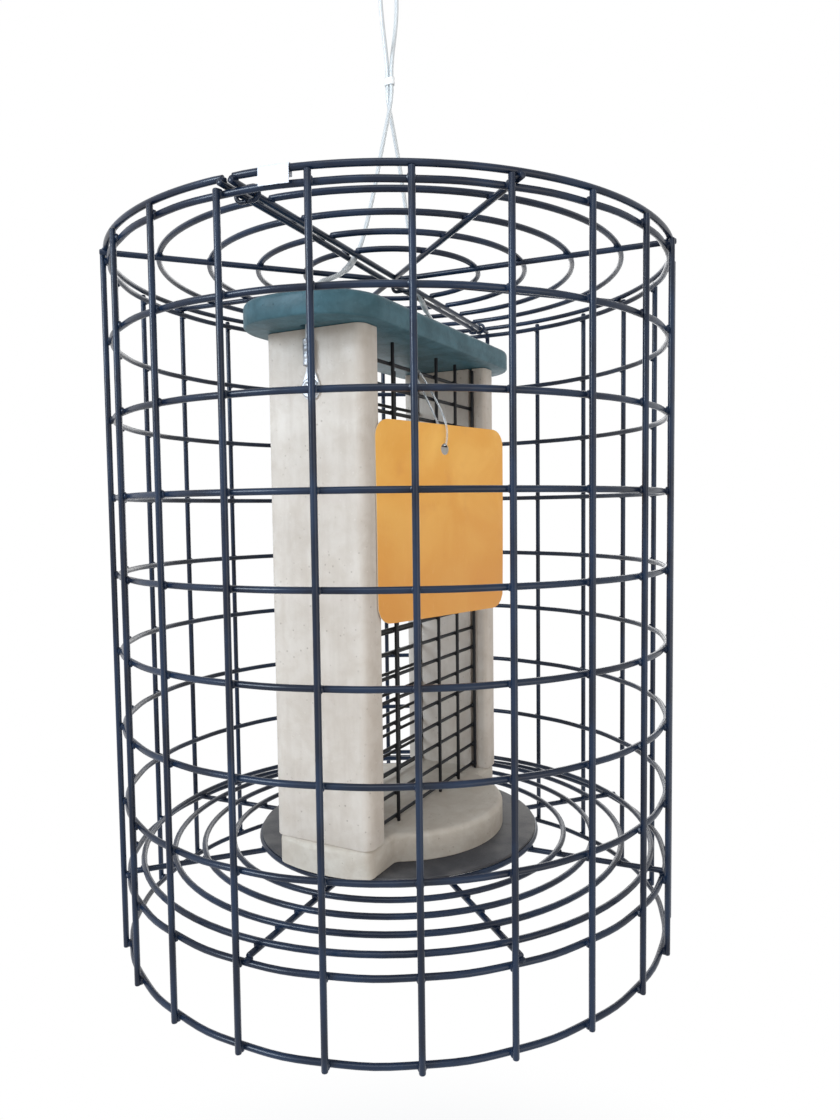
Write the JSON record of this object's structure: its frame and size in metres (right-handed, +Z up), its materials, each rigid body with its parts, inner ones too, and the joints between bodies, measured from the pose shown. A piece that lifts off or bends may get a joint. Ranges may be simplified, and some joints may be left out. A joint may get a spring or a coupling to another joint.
{
  "type": "caged suet feeder",
  "caption": "Hanging suet feeder of boards and wire mesh inside a round wire cage with a hinged half lid, a sliding roof and a hang card.",
  "frame": {"origin": "inside top of the cable's loop, where it hangs on a hook", "axes": "+Z up along the cage's axis, Y along the feeder's long side, +X towards the card and the door half of the lid"},
  "size_m": [0.3114, 0.3114, 0.5469],
  "materials": {
    "cage_wire": "glossy blue-black coating",
    "mesh_wire": "satin black coating",
    "plate": "matt",
    "sand_board": "matt, faint streaks",
    "green_board": "satin",
    "steel": "plain",
    "ferrule": "satin",
    "lug": "satin",
    "band": "satin",
    "cable": "clear-coated steel cable",
    "sleeve": "clear sleeve",
    "card": "printed card, bare",
    "clear_loop": "clear",
    "label": "paper"
  },
  "bodies": {
    "cage_and_feeder": {"cage_uprights": "cage_wire", "hoop_01": "cage_wire", "hoop_02": "cage_wire", "hoop_03": "cage_wire", "hoop_04": "cage_wire", "hoop_05": "cage_wire", "hoop_06": "cage_wire", "hoop_07": "cage_wire", "hoop_08": "cage_wire", "hoop_09": "cage_wire", "hoop_10": "cage_wire", "lid_bar": "cage_wire", "lid_spokes": "cage_wire", "lid_ring_1": "cage_wire", "lid_ring_2": "cage_wire", "lid_ring_3": "cage_wire", "lid_ring_4": "cage_wire", "lid_ring_5": "cage_wire", "lid_clips": "cage_wire", "floor_spokes": "cage_wire", "floor_ring_1": "cage_wire", "floor_ring_2": "cage_wire", "floor_ring_3": "cage_wire", "floor_ring_4": "cage_wire", "floor_ring_5": "cage_wire", "floor_ring_6": "cage_wire", "floor_ring_7": "cage_wire", "floor_ring_8": "cage_wire", "floor_plate": "plate", "floor_washers": "steel", "floor_screws": "steel", "base_board": "sand_board", "near_board": "sand_board", "far_board": "sand_board", "board_screws": "steel", "front_mesh_rows": "mesh_wire", "front_mesh_columns": "mesh_wire", "rear_mesh_rows": "mesh_wire", "rear_mesh_columns": "mesh_wire", "cable_near": "cable", "cable_far": "cable", "cable_loop": "cable", "cable_sleeves": "sleeve", "cable_band": "band", "cable_lugs": "lug", "cable_ferrules": "ferrule", "lug_washers": "steel", "lug_screws": "steel"},
    "lid_door": {"door_bar": "cage_wire", "door_spokes": "cage_wire", "door_ring_1": "cage_wire", "door_ring_2": "cage_wire", "door_ring_3": "cage_wire", "door_ring_4": "cage_wire", "door_ring_5": "cage_wire", "paper_label": "label"},
    "roof": {"roof_board": "green_board"},
    "card": {"hang_card": "card", "card_loop": "clear_loop"}
  },
  "joints": [
    {"name": "lid_door_hinge", "type": "hinge", "parent": "cage_and_feeder", "child": "lid_door", "pos_m": [0.00349, 0.00024, -0.1817], "axis": [0.0698, -0.9976, 0], "range_deg": [0, 80]},
    {"name": "roof_slide", "type": "slide", "parent": "cage_and_feeder", "child": "roof", "axis": [0, 0, 1], "range_m": [0, 0.022], "deforming": ["cable_near", "cable_far", "cable_sleeves"]},
    {"name": "card_swing", "type": "hinge", "parent": "cage_and_feeder", "child": "card", "pos_m": [0.019, -0.008, -0.23655], "axis": [0, -1, 0], "range_deg": [0, 40]}
  ]
}
